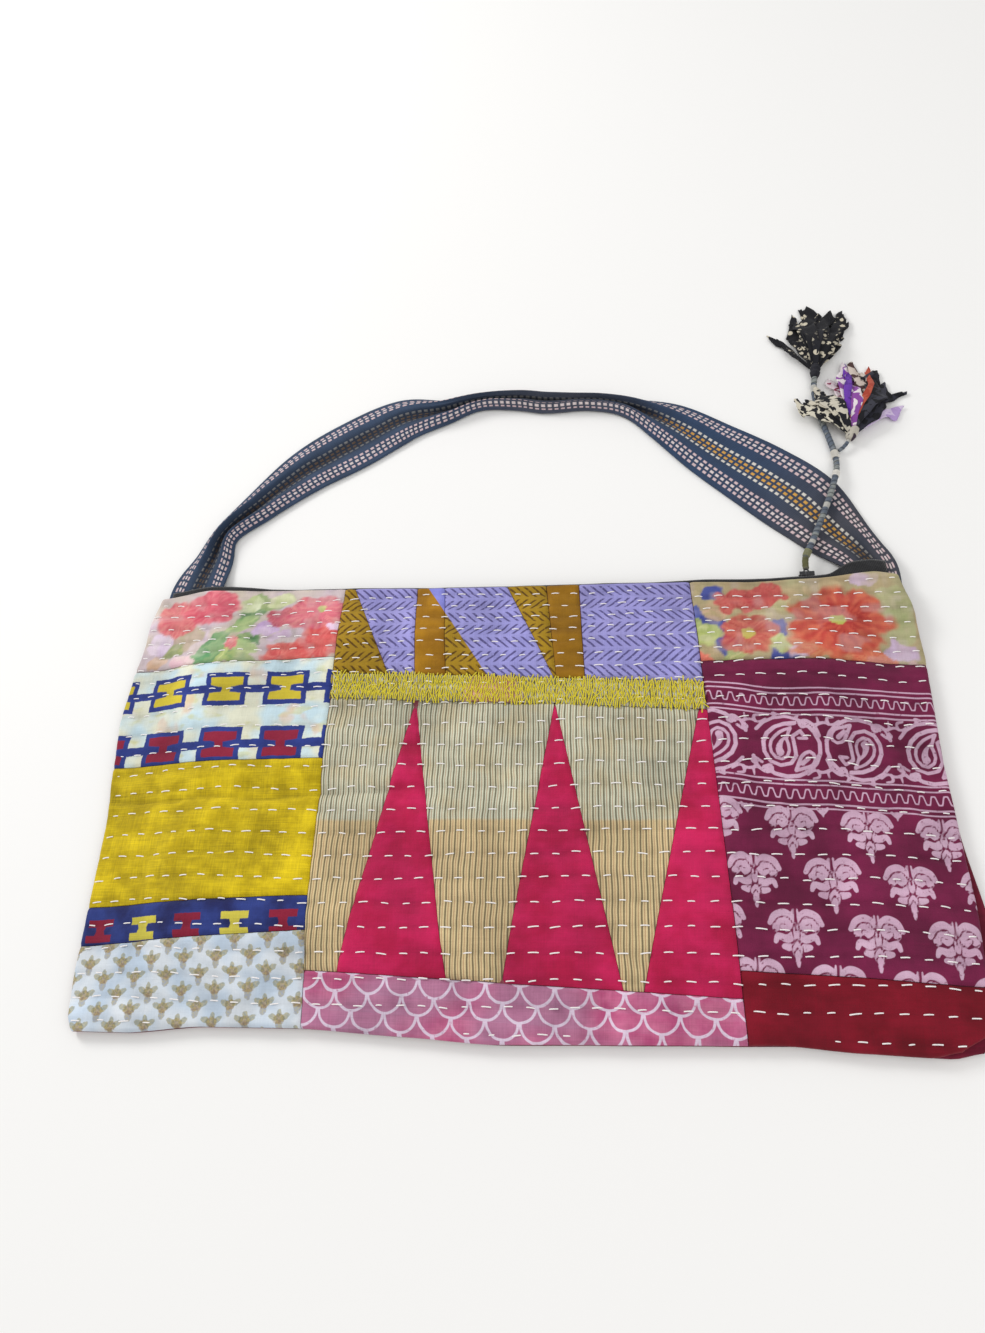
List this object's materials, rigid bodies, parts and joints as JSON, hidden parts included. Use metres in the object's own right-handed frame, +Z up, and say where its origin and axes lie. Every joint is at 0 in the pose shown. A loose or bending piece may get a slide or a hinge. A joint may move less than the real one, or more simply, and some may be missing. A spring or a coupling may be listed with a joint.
{
  "type": "patchwork crossbody bag",
  "caption": "Flat quilted patchwork pouch with a zipped mouth, a woven shoulder strap and a tasselled zip pull, lying on its back.",
  "frame": {"origin": "on the surface the bag lies on, under the middle of its flat back", "axes": "+X across the bag, towards the end with the zip pull; +Y from the bottom seam to the mouth and strap; +Z up, out of the patchwork front"},
  "size_m": [0.4551, 0.4524, 0.0166],
  "materials": {
    "back_quilt": "quilted deep red cotton with running stitches",
    "backing_cloth": "plain cotton backing, seen only at the seams",
    "floral_print": "soft cotton with watercolour flowers in coral, green and lilac",
    "link_print": "cream cotton with blue linked frames and yellow and maroon spools",
    "yellow_cotton": "slubby mustard yellow cotton",
    "blue_print": "blue cotton with red and yellow spool figures",
    "sprig_print": "bluish white cotton with small ochre sprigs",
    "mustard_print": "mustard cotton, plain or with brown herringbone dashes",
    "lilac_print": "lilac cotton with grey herringbone dashes",
    "embroidered_stripe": "striped cotton covered with yellow embroidery stitches",
    "striped_cotton": "beige cotton with thin dark stripes",
    "pink_cotton": "plain crimson pink cotton",
    "scallop_print": "dusty pink cotton with white fish-scale lines",
    "maroon_print": "maroon cotton with a pale pink paisley border and flower sprigs",
    "red_cotton": "plain dark red cotton",
    "zip_tape": "black woven tape",
    "zip_coil": "black nylon coil",
    "slider_metal": "black lacquered metal",
    "strap_weave": "slate blue handwoven band with rows of pink-white and yellow dashes",
    "cord_wrap": "grey cord wound with cloth and thread",
    "tassel_dark": "black printed cotton strips with cream flecks",
    "tassel_mixed": "printed cotton strips in cream, black, purple, red and lilac",
    "stitch_thread": "off-white cotton thread"
  },
  "bodies": {
    "root": {"back_panel": "back_quilt", "front_panel": "backing_cloth", "patch_floral_left": "floral_print", "patch_link_print": "link_print", "patch_yellow": "yellow_cotton", "patch_blue_band": "blue_print", "patch_sprig": "sprig_print", "patch_chevron_1": "mustard_print", "patch_chevron_2": "lilac_print", "patch_chevron_3": "mustard_print", "patch_chevron_4": "lilac_print", "patch_chevron_5": "mustard_print", "patch_chevron_6": "mustard_print", "patch_chevron_7": "lilac_print", "patch_embroidered_band": "embroidered_stripe", "patch_tongue_1": "striped_cotton", "patch_tongue_2": "striped_cotton", "patch_tongue_3": "striped_cotton", "patch_triangle_1": "pink_cotton", "patch_triangle_2": "pink_cotton", "patch_triangle_3": "pink_cotton", "patch_scallop": "scallop_print", "patch_floral_right": "floral_print", "patch_maroon_print": "maroon_print", "patch_red_band": "red_cotton", "zip_tape_front": "zip_tape", "zip_tape_back": "zip_tape", "zip_chain": "zip_coil", "zip_slider": "slider_metal", "strap": "strap_weave", "pull_cord": "cord_wrap", "pull_cord_branch": "cord_wrap", "tassel_upper": "tassel_dark", "tassel_lower": "tassel_mixed"}
  },
  "joints": []
}
